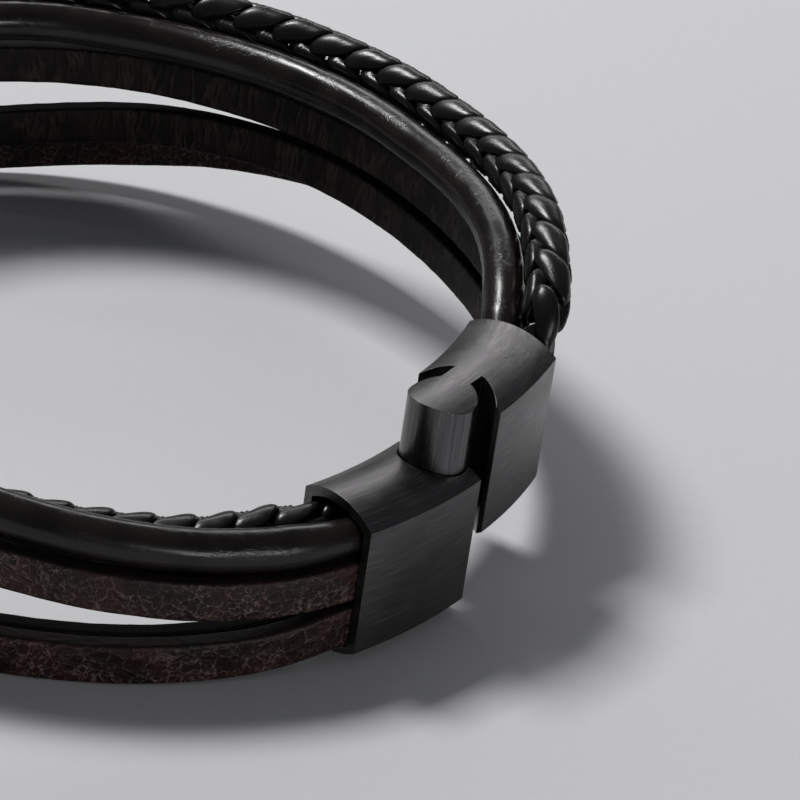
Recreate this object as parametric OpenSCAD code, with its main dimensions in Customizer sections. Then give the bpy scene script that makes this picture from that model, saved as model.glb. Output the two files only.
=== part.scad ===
// Braided leather bracelet: five runs of leather held in two steel end caps that slide together.
// Z is up and the clasp is at the front (-Y). A turn is an angle about the loop's middle, clockwise
// as seen from above, from the parting of the clasp. All lengths are millimetres. The leather is
// swept round the course table, and the caps are exact solids swept along an arc.

/* [Clasp] */
// radius of the outer faces of the two caps
cap_arc = 46; // [43:1:52]
// distance from the loop's middle to the caps' outer face at the parting
cap_reach = 38; // [37.5:0.1:39]
// width of a cap, from its outer to its inner face
cap_width = 7.5; // [7.5:0.1:8]
// height of a cap's flat faces
cap_face_height = 10.5; // [10.5:0.1:11.2]
// rise of a cap's rounded top and bottom above its flat faces
cap_crown = 1.2; // [1.1:0.05:1.3]
// wall of a cap round the leather
cap_wall = 0.8; // [0.7:0.02:0.8]
// how much higher the knob cap sits than the socket cap
cap_step = 5.25; // [4.8:0.05:5.6]
// length of the socket cap along its outer face
socket_cap_length = 12.3; // [12:0.1:13]
// length of the knob cap, square to the parting
knob_cap_length = 9.9; // [9.5:0.1:10.4]
// gap between the two caps at the parting
parting_gap = 1.4; // [1.2:0.1:1.6]

/* [Knob] */
// diameter of the knob
knob_diameter = 5.2; // [5:0.1:5.3]
// clearance between the knob and its socket
knob_clearance = 0.12; // [0.08:0.02:0.16]
// distance of the knob's middle from the parting
knob_back = 1.65; // [1.6:0.05:1.8]
// gap between the knob and the hollowed end of its own cap
knob_groove = 1.75; // [1.6:0.05:1.8]
// width of the neck that joins the knob to its cap
neck_width = 2.3; // [1.8:0.1:2.6]
// floor of the socket under the knob
socket_floor = 1.2; // [1:0.1:1.6]

/* [Leather] */
// height of a flat strap
strap_height = 3.35; // [3.1:0.05:3.35]
// thickness of one of a strap's two layers
strap_layer = 1.6; // [1.4:0.05:1.6]
// gap between neighbouring pieces
piece_gap = 0.08; // [0.06:0.01:0.08]
// diameter of the round cord
cord_diameter = 3.3; // [3:0.1:3.3]
// radius from the braid's middle to the outside of its strands
braid_radius = 1.9; // [1.8:0.02:1.9]
// length along the braid of one full turn of a strand
braid_pitch = 7; // [6.4:0.1:7.6]

/* [Hidden] */
$fn = 96;

// the part is one of these names, or all of them

// distance from the loop's middle back to the axis of the caps' arc
arc_back = cap_arc - cap_reach;
// radius of the rounded top and bottom of a cap
crown_radius = (pow(cap_width / 2, 2) + pow(cap_crown, 2)) / (2 * cap_crown);
// height of a cap from the crown at its bottom to the crown at its top
cap_height = cap_face_height + 2 * cap_crown;
// wall under the leather, where the crown runs up towards the straps' corners
bottom_wall = 0.55;
// length of the mouth in each cap along its outer face
socket_mouth_depth = 7;
knob_mouth_depth = 6.7;
// the hollow round the knob and the neck lie this far in from the knob's own axis
hollow_shift = 0.35;
// the knob stops this far above the socket's floor when the clasp is closed
knob_stop = 0.1;
// radius of the socket that the knob slides in
socket_radius = knob_diameter / 2 + knob_clearance;
// distance from the axis of the caps' arc to the middle of their width
arc_middle = cap_arc - cap_width / 2;
// a cut runs this far past the face that it goes through
past = 1;
// turns over which a cap may be swept before it is cut to length
sweep_back = 6;
sweep_on = 20;

// turns of leather inside the left and the right cap
left_hold = 9.9;
right_hold = 12.3;
// how far in from the caps' reach the corner of the right mouth is, about which it opens
corner_inset = 7;
// the leather comes out of the caps at these turns, the right one at its inner corner, and ends
// at the first and the last
inner_corner = cap_reach - corner_inset;
left_mouth = (parting_gap / 2 + socket_cap_length) / cap_reach * 180 / PI;
right_mouth = 360 - asin((parting_gap / 2 + knob_cap_length) / inner_corner);
first_turn = left_mouth - left_hold;
last_turn = right_mouth + right_hold;
left_held = (first_turn + left_mouth) / 2;
right_held = (last_turn + right_mouth) / 2;

// columns of the course table: the turn, then the radius of the outer face less the caps' reach,
// then the share of the clasp's step, then heights of the lower strap, of its inner layer above
// it, of the upper strap, of the cord's and the braid's middles with their distances in from the
// outer face, the swell of the cord and the braid, which is 0 where a cap squeezes them, and the
// angle by which the whole braid is turned inwards over its top
TURN = 0;
BOW = 1;
RISE = 2;
LOWER = 3;
LIFT = 4;
UPPER = 5;
CORD_Z = 6;
CORD_IN = 7;
BRAID_Z = 8;
BRAID_IN = 9;
SWELL = 10;
TWIST = 11;

// inside a cap the leather lies against the outer wall
function cap_face(turn) = sqrt(pow(cap_arc, 2) - pow(arc_back * sin(turn), 2)) - arc_back * cos(turn);
function held_bow(turn) = cap_face(turn) - cap_wall - piece_gap - cap_reach;

course = [
    // turn,      bow,                   rise, lower, lift, upper, cord z, in,   braid z, in,   swell, twist
    [first_turn,  held_bow(first_turn),  0,    1.35,  0,    5.3,   10.2,   1.5,  10.15,   4.42, 0,     0],
    [left_held,   held_bow(left_held),   0,    1.35,  0,    5.3,   10.2,   1.5,  10.15,   4.42, 0,     0],
    [left_mouth,  held_bow(left_mouth),  0,    1.35,  0,    5.3,   10.2,   1.5,  10.15,   4.42, 0,     0],
    [28,          -0.7,                  0,    0.6,   0,    5.15,  10.25,  1.6,  9.5,     5.15, 1,     0],
    [36,          -1,                    0,    0.2,   0,    5.3,   10.5,   1.65, 9.2,     5.3,  1,     0],
    [50,          -1.4,                  0,    0,     0,    6.2,   11.5,   1.65, 9.7,     5.35, 1,     0],
    [64,          -1.6,                  0,    0,     0,    7.5,   12.95,  1.65, 10.5,    5.35, 1,     0],
    [80,          -1.4,                  0,    0,     0,    8.8,   15,     1.75, 12,      5.3,  1,     0],
    [92,          -1.1,                  0,    0,     0.1,  9.2,   16.4,   2.1,  13.3,    5.15, 1,     0],
    [105,         -0.6,                  0,    0,     0.2,  9.45,  17.7,   2.6,  14.55,   4.4,  1,     2],
    [120,         -0.2,                  0,    0,     0.5,  9.55,  18.55,  3.3,  14.9,    3.4,  1,     6],
    [135,         -0.15,                 0,    0,     0.9,  9.6,   18.6,   4.1,  15.1,    2.6,  1,     10],
    [150,         -0.2,                  0,    0,     1.4,  9.65,  18.2,   4.7,  15.6,    2,    1,     15],
    [165,         -0.15,                 0,    0,     1.9,  9.7,   17.8,   5,    16.4,    1.65, 1,     20],
    [180,         0.1,                   0,    0,     2.4,  9.8,   17.4,   5.1,  17.2,    1.5,  1,     24],
    [205,         1.3,                   0,    0,     2.9,  9.9,   16.9,   5.1,  18,      1.65, 1,     27],
    [226,         2.4,                   0.11, 0.2,   3.1,  9.4,   16.3,   5.1,  17.6,    1.7,  1,     27],
    [240,         2.55,                  0.3,  0.35,  3.05, 8.5,   14.9,   5.1,  16.5,    1.75, 1,     27],
    [257,         2.1,                   0.72, 0.4,   1.8,  6.3,   12.7,   5.1,  14.3,    1.8,  1,     27],
    [270,         1.2,                   0.93, 0.65,  0.8,  5.3,   11.9,   5.1,  13.45,   1.8,  1,     24],
    [287,         -0.1,                  1,    1.05,  0.1,  5.2,   12,     5.1,  13.65,   1.8,  1,     19],
    [301,         -0.65,                 1,    1.15,  0,    5.25,  12.4,   4.85, 14.15,   1.65, 1,     10],
    [316,         -0.8,                  1,    1.25,  0,    5.3,   12.6,   4.6,  14.55,   1.55, 1,     -5],
    [328,         -0.7,                  1,    1.3,   0,    5.3,   12,     4.55, 13.85,   1.45, 1,     -15],
    [335,         -0.6,                  1,    1.35,  0,    5.3,   10.95,  4.35, 12.7,    1.2,  1,     -20],
    [right_mouth, held_bow(right_mouth), 1,    1.35,  0,    5.3,   10.15,  4.15, 10.25,   1.4,  0,     -20],
    [right_held,  held_bow(right_held),  1,    1.35,  0,    5.3,   10.15,  4.15, 10.25,   1.4,  0,     -20],
    [last_turn,   held_bow(last_turn),   1,    1.35,  0,    5.3,   10.15,  4.15, 10.25,   1.4,  0,     -20],
];

// stations along the leather
strap_stations = 46;
cord_stations = 60;
rings_per_braid_turn = 8;
// share of a ring's step by which the rings miss the strands' crossings
ring_offset = 0.5;
// chamfer along a strap's edges
strap_edge = 0.3;
// share of its size that the cord and the braid keep inside a cap
cord_squeeze = 0.85;
braid_squeeze = 0.695;
// sides of the cord and of a braided strand
cord_sides = 8;
strand_sides = 6;
// a braided strand's half thickness and half width, and how far it weaves in and out of the
// middle of the braid's wall, as shares of the braid's radius
strand_half_thickness = 0.175;
strand_half_width = 0.37;
weave_middle = 0.55;
weave_depth = 0.26;
// 1 weaves a strand in and out in a plain wave, and less holds it in or out for longer
weave_sharpness = 0.35;
// a strand goes round slower on top and faster underneath, and is this far off an even turn between
braid_lag = 16;

// whole turns that a strand makes round the braid on its way round the loop
course_span = last_turn - first_turn;
braid_mean_inset = 3;
braid_turns = round(course_span * PI / 180 * (cap_reach - braid_mean_inset) / braid_pitch);
braid_stations = braid_turns * rings_per_braid_turn;

// the loop's box is centred on the origin
middle_x = 1.3;
middle_y = 0.22;

steel_color = "#55555c";
strap_color = "#4a2620";
strap_inner_color = "#3a2420";
cord_color = "#241a17";
braid_color = "#1c1718";

// monotone cubic through one column of the course table
function row_at(turn, row = 0) =
    row >= len(course) - 2 || turn < course[row + 1][TURN] ? row : row_at(turn, row + 1);
function chord(row, column) =
    (course[row + 1][column] - course[row][column]) / (course[row + 1][TURN] - course[row][TURN]);
function harmonic(a, b) = a * b <= 0 ? 0 : 2 * a * b / (a + b);
function slope(row, column) =
    row == 0 || row == len(course) - 1 ? 0 : harmonic(chord(row - 1, column), chord(row, column));
function hermite(t, h, from, to, leave, arrive) =
    from * (2 * pow(t, 3) - 3 * pow(t, 2) + 1) + to * (3 * pow(t, 2) - 2 * pow(t, 3))
    + h * leave * (pow(t, 3) - 2 * pow(t, 2) + t) + h * arrive * (pow(t, 3) - pow(t, 2));
function at(turn, column) =
    let (row = row_at(turn),
         h = course[row + 1][TURN] - course[row][TURN],
         t = (turn - course[row][TURN]) / h)
    hermite(t, h, course[row][column], course[row + 1][column], slope(row, column),
            slope(row + 1, column));

// a place on the course, and the directions across it
function step_at(turn) = cap_step * at(turn, RISE);
function outward(turn) = [-sin(turn), -cos(turn), 0];
function place(turn, inset, height) =
    (cap_reach + at(turn, BOW) - inset) * outward(turn) + [0, 0, height + step_at(turn)];
function unit(v) = v / norm(v);
function middle(turn, inset_column, height_column) =
    place(turn, at(turn, inset_column), at(turn, height_column));
function along(turn, inset_column, height_column) =
    unit(middle(min(turn + 1, last_turn), inset_column, height_column)
         - middle(max(turn - 1, first_turn), inset_column, height_column));
function squared(v, direction) = unit(v - (v * direction) * direction);
function swollen(turn, squeeze) = squeeze + (1 - squeeze) * at(turn, SWELL);

// turns of evenly spaced stations from one end of the leather to the other
function turn_of(station, stations) = first_turn + course_span * station / stations;

// a ring of points in the plane of two directions
function ring(centre, out, up, outline) = [for (p = outline) centre + p.x * out + p.y * up];
function disc(radius, sides) =
    [for (i = [0 : sides - 1]) radius * [cos(360 * i / sides), sin(360 * i / sides)]];

// an oval turned by an angle, its points in the same directions whatever the angle is
function oval_reach(half_thickness, half_width, angle) =
    half_thickness * half_width / norm([half_width * cos(angle), half_thickness * sin(angle)]);
function turned_oval(half_thickness, half_width, turned, sides) =
    [for (i = [0 : sides - 1]) let (angle = 360 * i / sides)
        oval_reach(half_thickness, half_width, angle - turned) * [cos(angle), sin(angle)]];

// a tube through rings of points, closed at both ends
function sweep_points(rings) = [for (one = rings) each one];
function sweep_faces(count, sides) = [
    [for (i = [0 : sides - 1]) i],
    for (j = [0 : count - 2]) for (i = [0 : sides - 1])
        let (a = j * sides + i, b = j * sides + (i + 1) % sides, c = b + sides, d = a + sides)
        each [[a, c, b], [a, d, c]],
    [for (i = [sides - 1 : -1 : 0]) (count - 1) * sides + i]
];

module sweep(rings) {
    polyhedron(sweep_points(rings), sweep_faces(len(rings), len(rings[0])), convexity = 10);
}

// outline of a flat strap, with chamfered edges, from its outer bottom corner
function strap_outline() =
    let (w = strap_layer / 2, h = strap_height / 2, e = strap_edge)
    [[w, e - h], [w, h - e], [w - e, h], [e - w, h], [-w, h - e], [-w, e - h], [e - w, -h], [w - e, -h]];

// one layer of a flat strap, its bottom at the height in the table
module strap(layer, height_column, lift = false) {
    inset = strap_layer / 2 + layer * (strap_layer + piece_gap);
    sweep([for (i = [0 : strap_stations])
        let (turn = turn_of(i, strap_stations),
             bottom = at(turn, height_column) + (lift ? at(turn, LIFT) : 0))
        ring(place(turn, inset, bottom + strap_height / 2), outward(turn), [0, 0, 1],
             strap_outline())]);
}

module cord() {
    sweep([for (i = [0 : cord_stations])
        let (turn = turn_of(i, cord_stations),
             forward = along(turn, CORD_IN, CORD_Z),
             out = squared(outward(turn), forward),
             radius = cord_diameter / 2 * swollen(turn, cord_squeeze))
        ring(middle(turn, CORD_IN, CORD_Z), out, cross(forward, out), disc(radius, cord_sides))]);
}

// how far out a strand is held at an angle round the braid, from -1 to 1
function weave(angle) = sign(cos(2 * angle)) * pow(abs(cos(2 * angle)), weave_sharpness);

// one strand of the braid: way is 1 or -1, and start is the angle that it starts at
module strand(way, start) {
    sweep([for (i = [0 : braid_stations])
        let (turn = turn_of(i, braid_stations),
             forward = along(turn, BRAID_IN, BRAID_Z),
             out = squared(outward(turn), forward),
             up = cross(forward, out),
             angle = way * 360 * (i + ring_offset) / rings_per_braid_turn + start,
             size = braid_radius * swollen(turn, braid_squeeze),
             wall = size * (weave_middle + way * weave_depth * weave(angle)),
             turned = angle + at(turn, TWIST) - way * braid_lag * sin(2 * angle))
        ring(middle(turn, BRAID_IN, BRAID_Z) + wall * (cos(turned) * out + sin(turned) * up), out,
             up, turned_oval(size * strand_half_thickness, size * strand_half_width, turned,
                             strand_sides))]);
}

// all that lies below a cap's rounded top, less a wall
module below_crown(wall) {
    translate([0, cap_height - crown_radius]) circle(crown_radius - wall);
    translate([-cap_width, -past]) square([2 * cap_width, cap_height / 2 + past]);
}

// section of a cap, less a wall all round: the first number is the distance across the loop
module cap_outline(side_wall, top_wall, under_wall) {
    half_width = cap_width / 2 - side_wall;
    intersection() {
        translate([-half_width, -past]) square([2 * half_width, cap_height + 2 * past]);
        below_crown(top_wall);
        translate([0, cap_height]) mirror([0, 1]) below_crown(under_wall);
    }
}

// sweeps a section along the caps' arc between two angles, anticlockwise from the parting
module cap_sweep(from, to) {
    translate([0, arc_back, 0]) rotate([0, 0, from - 90]) rotate_extrude(angle = to - from)
        translate([arc_middle, 0]) children();
}

// angle at the caps' arc of a length along the outer face
function arc_angle(length) = length / cap_arc * 180 / PI;

module at_knob() {
    translate([-knob_back, arc_back - sqrt(pow(arc_middle, 2) - pow(knob_back, 2)), 0]) children();
}

module socket_cap_solid() {
    mouth = arc_angle(parting_gap / 2 + socket_cap_length);
    difference() {
        cap_sweep(-mouth, -arc_angle(parting_gap / 2)) cap_outline(0, 0, 0);
        cap_sweep(-mouth - past, -mouth + arc_angle(socket_mouth_depth))
            cap_outline(cap_wall, cap_wall, bottom_wall);
        at_knob() translate([0, 0, socket_floor]) cylinder(h = cap_height, r = socket_radius);
    }
}

module knob_cap_solid() {
    near = parting_gap / 2;
    far = near + knob_cap_length;
    reach = 2 * cap_reach;
    translate([0, 0, cap_step]) difference() {
        union() {
            difference() {
                intersection() {
                    cap_sweep(-sweep_back, sweep_on) cap_outline(0, 0, 0);
                    translate([near, -reach, -past]) cube([knob_cap_length, reach, cap_height + 2 * past]);
                }
                at_knob() translate([0, hollow_shift, -past])
                    cylinder(h = cap_height + 2 * past, r = knob_diameter / 2 + knob_groove);
            }
            intersection() {
                cap_sweep(-sweep_back, sweep_on) cap_outline(0, 0, 0);
                at_knob() translate([0, 0, socket_floor + knob_stop]) union() {
                    cylinder(h = cap_height, r = knob_diameter / 2);
                    translate([0, hollow_shift - neck_width / 2, 0])
                        cube([knob_diameter / 2 + knob_groove + past / 2, neck_width, cap_height]);
                }
            }
        }
        cap_sweep(arc_angle(far - knob_mouth_depth), sweep_on + past)
            cap_outline(cap_wall, cap_wall, bottom_wall);
    }
}

module in_frame() {
    translate([-middle_x, -middle_y, 0]) children();
}

module socket_cap() {
    color(steel_color) in_frame() socket_cap_solid();
}

module knob_cap() {
    color(steel_color) in_frame() knob_cap_solid();
}

module lower_strap_outer() {
    color(strap_color) in_frame() strap(0, LOWER);
}

module lower_strap_inner() {
    color(strap_inner_color) in_frame() strap(1, LOWER, lift = true);
}

module upper_strap_outer() {
    color(strap_color) in_frame() strap(0, UPPER);
}

module upper_strap_inner() {
    color(strap_inner_color) in_frame() strap(1, UPPER);
}

module round_cord() {
    color(cord_color) in_frame() cord();
}

module braid_strand_a() {
    color(braid_color) in_frame() strand(1, 0);
}

module braid_strand_b() {
    color(braid_color) in_frame() strand(1, 180);
}

module braid_strand_c() {
    color(braid_color) in_frame() strand(-1, 0);
}

module braid_strand_d() {
    color(braid_color) in_frame() strand(-1, 180);
}

socket_cap();
knob_cap();
lower_strap_outer();
lower_strap_inner();
upper_strap_outer();
upper_strap_inner();
round_cord();
braid_strand_a();
braid_strand_b();
braid_strand_c();
braid_strand_d();
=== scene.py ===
"""Looks of a braided leather bracelet, built round its packed construction model.

Five runs of leather lie round one loop: two flat straps of two layers each, a round cord and a
braid of four strands. Their ends are held in two steel caps. The course of the leather is the
same as in the construction model, with finer stations, rounded edges and the marks of use. All
working lengths are millimetres in the row's frame, and meshes are made in metres.
"""

from __future__ import annotations

import logging
import math
from dataclasses import dataclass, field
from enum import Enum
from itertools import product
from typing import Mapping, Optional, Sequence, Union

import bpy
import numpy as np
from mathutils import Matrix, Vector

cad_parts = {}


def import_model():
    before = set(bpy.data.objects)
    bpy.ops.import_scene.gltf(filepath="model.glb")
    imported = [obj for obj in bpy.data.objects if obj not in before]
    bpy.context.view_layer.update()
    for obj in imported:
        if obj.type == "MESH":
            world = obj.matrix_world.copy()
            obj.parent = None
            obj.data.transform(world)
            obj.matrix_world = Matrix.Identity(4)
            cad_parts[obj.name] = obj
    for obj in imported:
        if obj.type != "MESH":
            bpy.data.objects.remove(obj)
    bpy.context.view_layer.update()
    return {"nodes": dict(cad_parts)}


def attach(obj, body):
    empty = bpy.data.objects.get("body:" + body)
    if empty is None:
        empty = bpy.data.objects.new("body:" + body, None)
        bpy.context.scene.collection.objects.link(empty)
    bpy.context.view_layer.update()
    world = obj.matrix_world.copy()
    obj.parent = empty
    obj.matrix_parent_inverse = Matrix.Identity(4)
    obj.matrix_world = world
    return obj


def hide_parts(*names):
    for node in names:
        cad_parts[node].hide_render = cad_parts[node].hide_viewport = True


METRES_PER_MM = 0.001
MM_PER_METRE = 1000.0
FULL_TURN = 2 * math.pi
LAID = "laid"

Array = np.ndarray
Colour = tuple[float, float, float, float]
Triple = tuple[float, float, float]
Material = bpy.types.Material
Piece = bpy.types.Object
Socket = bpy.types.NodeSocket
LOG = logging.getLogger("bracelet")


def eased(share: Array) -> Array:
    """Rounds off both ends of a run from 0 to 1."""
    return share * share * (3 - 2 * share)


def signed_power(value: Array, power: float) -> Array:
    """Raises the size of each number to a power and keeps its sign."""
    return np.sign(value) * np.abs(value) ** power


def run_length(line: Array) -> Array:
    """Measures along a line of places from its first place to each one."""
    return np.concatenate([[0.0], np.cumsum(np.linalg.norm(np.diff(line, axis=0), axis=1))])


def add_object(name: str, data: bpy.types.ID) -> Piece:
    """Makes an object and links it to the scene."""
    made = bpy.data.objects.new(name, data)
    bpy.context.scene.collection.objects.link(made)
    return made


class Way(Enum):
    """Which way a braided strand turns round the braid as the turn of the loop grows."""

    OUT_OVER = 1
    TOP_OVER = -1


class Row(Enum):
    """Which of the two flat straps a strap is, by the column of the course that carries it."""

    LOWER = "lower"
    UPPER = "upper"


class Layer(Enum):
    """Which layer of a flat strap a piece is, counted inwards."""

    OUTER = 0
    INNER = 1


@dataclass(frozen=True)
class Station:
    """Where every run of leather lies at one turn of the loop.

    The bow is the radius of the outer face less the reach of the caps, the rise is a share of
    the clasp's step, the swell is 0 where a cap squeezes the cord and the braid, and the twist
    is the angle in degrees by which the braid is turned inwards over its top.
    """

    turn: float
    bow: float
    rise: float
    lower: float
    lift: float
    upper: float
    cord_height: float
    cord_inset: float
    braid_height: float
    braid_inset: float
    swell: float
    twist: float


@dataclass(frozen=True)
class ClaspSizes:
    """Sizes of the two caps that the leather's course depends on."""

    arc: float = 46.0
    reach: float = 38.0
    width: float = 7.5
    wall: float = 0.8
    step: float = 5.25
    socket_cap_length: float = 12.3
    knob_cap_length: float = 9.9
    parting_gap: float = 1.4
    knob_diameter: float = 5.2
    knob_back: float = 1.65
    piece_gap: float = 0.08

    @property
    def arc_back(self) -> float:
        """Distance from the loop's middle back to the axis of the caps' arc."""
        return self.arc - self.reach

    @property
    def knob_forward(self) -> float:
        """Distance of the knob's axis in front of the loop's middle, towards the clasp."""
        middle = self.arc - self.width / 2
        return math.sqrt(middle**2 - self.knob_back**2) - self.arc_back

    def held_bow(self, turn: float) -> float:
        """Bow of the leather where it lies against a cap's outer wall.

        Args:
            turn: Turn of the loop in degrees.

        Returns:
            The radius of the leather's outer face less the caps' reach.
        """
        angle = math.radians(turn)
        aside, ahead = self.arc_back * math.sin(angle), self.arc_back * math.cos(angle)
        face = math.sqrt(self.arc**2 - aside**2) - ahead
        return face - self.wall - self.piece_gap - self.reach


class Course:
    """The way that the leather takes round the loop, as smooth columns over the turn."""

    LEFT_HOLD = 9.9
    RIGHT_HOLD = 12.3
    CORNER_INSET = 7.0
    MIDDLE = (1.3, 0.22)
    FINE_TURNS = 2000

    def __init__(self, clasp: ClaspSizes) -> None:
        """Lays out the stations.

        Args:
            clasp: Sizes of the caps that hold the leather.
        """
        self.clasp = clasp
        half_gap = clasp.parting_gap / 2
        left = math.degrees((half_gap + clasp.socket_cap_length) / clasp.reach)
        corner = clasp.reach - self.CORNER_INSET
        right = 360 - math.degrees(math.asin((half_gap + clasp.knob_cap_length) / corner))
        self.first = left - self.LEFT_HOLD
        self.last = right + self.RIGHT_HOLD
        self.stations = self._stations(left, right)
        self._turns = np.array([one.turn for one in self.stations])

    def _stations(self, left: float, right: float) -> list[Station]:
        """Lists the stations from one end of the leather to the other.

        Args:
            left: Turn of the socket cap's mouth.
            right: Turn of the knob cap's mouth.

        Returns:
            The stations in the order of their turns.
        """
        bow = self.clasp.held_bow
        held_left = (1.35, 0, 5.3, 10.2, 1.5, 10.15, 4.42, 0, 0)
        held_right = (1.35, 0, 5.3, 10.15, 4.15, 10.25, 1.4, 0, -20)
        open_rows = (
            (28, -0.7, 0, 0.6, 0, 5.15, 10.25, 1.6, 9.5, 5.15, 1, 0),
            (36, -1, 0, 0.2, 0, 5.3, 10.5, 1.65, 9.2, 5.3, 1, 0),
            (50, -1.4, 0, 0, 0, 6.2, 11.5, 1.65, 9.7, 5.35, 1, 0),
            (64, -1.6, 0, 0, 0, 7.5, 12.95, 1.65, 10.5, 5.35, 1, 0),
            (80, -1.4, 0, 0, 0, 8.8, 15, 1.75, 12, 5.3, 1, 0),
            (92, -1.1, 0, 0, 0.1, 9.2, 16.4, 2.1, 13.3, 5.15, 1, 0),
            (105, -0.6, 0, 0, 0.2, 9.45, 17.7, 2.6, 14.55, 4.4, 1, 2),
            (120, -0.2, 0, 0, 0.5, 9.55, 18.55, 3.3, 14.9, 3.4, 1, 6),
            (135, -0.15, 0, 0, 0.9, 9.6, 18.6, 4.1, 15.1, 2.6, 1, 10),
            (150, -0.2, 0, 0, 1.4, 9.65, 18.2, 4.7, 15.6, 2, 1, 15),
            (165, -0.15, 0, 0, 1.9, 9.7, 17.8, 5, 16.4, 1.65, 1, 20),
            (180, 0.1, 0, 0, 2.4, 9.8, 17.4, 5.1, 17.2, 1.5, 1, 24),
            (205, 1.3, 0, 0, 2.9, 9.9, 16.9, 5.1, 18, 1.65, 1, 27),
            (226, 2.4, 0.11, 0.2, 3.1, 9.4, 16.3, 5.1, 17.6, 1.7, 1, 27),
            (240, 2.55, 0.3, 0.35, 3.05, 8.5, 14.9, 5.1, 16.5, 1.75, 1, 27),
            (257, 2.1, 0.72, 0.4, 1.8, 6.3, 12.7, 5.1, 14.3, 1.8, 1, 27),
            (270, 1.2, 0.93, 0.65, 0.8, 5.3, 11.9, 5.1, 13.45, 1.8, 1, 24),
            (287, -0.1, 1, 1.05, 0.1, 5.2, 12, 5.1, 13.65, 1.8, 1, 19),
            (301, -0.65, 1, 1.15, 0, 5.25, 12.4, 4.85, 14.15, 1.65, 1, 10),
            (316, -0.8, 1, 1.25, 0, 5.3, 12.6, 4.6, 14.55, 1.55, 1, -5),
            (328, -0.7, 1, 1.3, 0, 5.3, 12, 4.55, 13.85, 1.45, 1, -15),
            (335, -0.6, 1, 1.35, 0, 5.3, 10.95, 4.35, 12.7, 1.2, 1, -20),
        )
        start = [
            Station(turn, bow(turn), 0, *held_left)
            for turn in (self.first, (self.first + left) / 2, left)
        ]
        finish = [
            Station(turn, bow(turn), 1, *held_right)
            for turn in (right, (self.last + right) / 2, self.last)
        ]
        return start + [Station(*row) for row in open_rows] + finish

    def at(self, name: str, turns: Array) -> Array:
        """Reads one column of the course by a monotone cubic.

        Args:
            name: Field of a station.
            turns: Turns in degrees.

        Returns:
            The column's value at each turn.
        """
        values = np.array([getattr(one, name) for one in self.stations], float)
        steps = np.diff(self._turns)
        chords = np.diff(values) / steps
        before, after = chords[:-1], chords[1:]
        same_way = before * after > 0
        total = np.where(same_way, before + after, 1)
        slopes = np.pad(np.where(same_way, 2 * before * after / total, 0), 1)
        row = np.clip(np.searchsorted(self._turns, turns, side="right") - 1, 0, len(steps) - 1)
        step = steps[row]
        share = (turns - self._turns[row]) / step
        square, cube = share**2, share**3
        return (
            values[row] * (2 * cube - 3 * square + 1)
            + values[row + 1] * (3 * square - 2 * cube)
            + step * slopes[row] * (cube - 2 * square + share)
            + step * slopes[row + 1] * (cube - square)
        )

    def even_turns(self, count: int) -> Array:
        """Lists a number of evenly spaced turns from one end of the leather to the other."""
        return np.linspace(self.first, self.last, count)

    def swollen(self, turns: Array, squeeze: float) -> Array:
        """Gives a round run's size at each turn: squeezed in the caps and 1 outside them."""
        return squeeze + (1 - squeeze) * self.at("swell", turns)

    @staticmethod
    def outward(turns: Array) -> Array:
        """Gives the level direction away from the loop's middle at each turn."""
        angle = np.radians(turns)
        return np.stack([-np.sin(angle), -np.cos(angle), np.zeros_like(angle)], axis=-1)

    def place(self, turns: Array, inset: Array, height: Array) -> Array:
        """Finds places in the row's frame.

        Args:
            turns: Turns in degrees.
            inset: Distance in from the leather's outer face.
            height: Height above the table, before the clasp's step is added.

        Returns:
            One place for each turn.
        """
        radius = self.clasp.reach + self.at("bow", turns) - inset
        places = radius[..., None] * self.outward(turns)
        places[..., 0] -= self.MIDDLE[0]
        places[..., 1] -= self.MIDDLE[1]
        places[..., 2] = height + self.clasp.step * self.at("rise", turns)
        return places

    def frames(self, turns: Array, inset: str, height: str) -> Frames:
        """Works out the middle of a round run and the directions across it.

        Args:
            turns: Turns in degrees, in an array of any shape.
            inset: Name of the column with the run's distance in.
            height: Name of the column with the run's height.

        Returns:
            The run's middle, outward and upward directions and length so far.
        """
        fine = np.linspace(self.first - 1, self.last + 1, self.FINE_TURNS)
        held = np.clip(fine, self.first, self.last)
        line = self.place(held, self.at(inset, held), self.at(height, held))
        forward = np.gradient(line, fine, axis=0)
        forward = np.stack([np.interp(turns, fine, part) for part in forward.T], axis=-1)
        forward /= np.linalg.norm(forward, axis=-1, keepdims=True)
        out = self.outward(turns)
        out -= np.sum(out * forward, axis=-1, keepdims=True) * forward
        out /= np.linalg.norm(out, axis=-1, keepdims=True)
        held = np.clip(turns, self.first, self.last)
        middle = self.place(held, self.at(inset, held), self.at(height, held))
        length = np.interp(turns, fine, run_length(line))
        return Frames(middle, out, np.cross(forward, out), length)


@dataclass(frozen=True)
class Frames:
    """The middle of a round run with its outward and upward directions and length so far."""

    middle: Array
    out: Array
    up: Array
    length: Array

    def around(self, out_part: Array, up_part: Array) -> Array:
        """Gives the places that lie so far outwards and so far upwards from the middle."""
        return self.middle + out_part[..., None] * self.out + up_part[..., None] * self.up


@dataclass(frozen=True)
class Ripple:
    """Smooth seeded noise over a plane, with cells one unit wide."""

    seed: int
    cells: int = 512
    start: float = 40.0

    def at(self, across: Array, along: Array) -> Array:
        """Reads the noise.

        Args:
            across: First coordinate of each place, counted from the start.
            along: Second coordinate of each place.

        Returns:
            Values from -1 to 1.
        """
        grid = np.random.default_rng(self.seed).uniform(-1, 1, (self.cells, self.cells))
        across = across + self.start
        column, row = np.floor(across).astype(int), np.floor(along).astype(int)
        u, v = eased(across - column), eased(along - row)
        column, row = column % self.cells, row % self.cells
        next_column, next_row = (column + 1) % self.cells, (row + 1) % self.cells
        low = grid[row, column] * (1 - u) + grid[row, next_column] * u
        high = grid[next_row, column] * (1 - u) + grid[next_row, next_column] * u
        return low * (1 - v) + high * v


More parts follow.
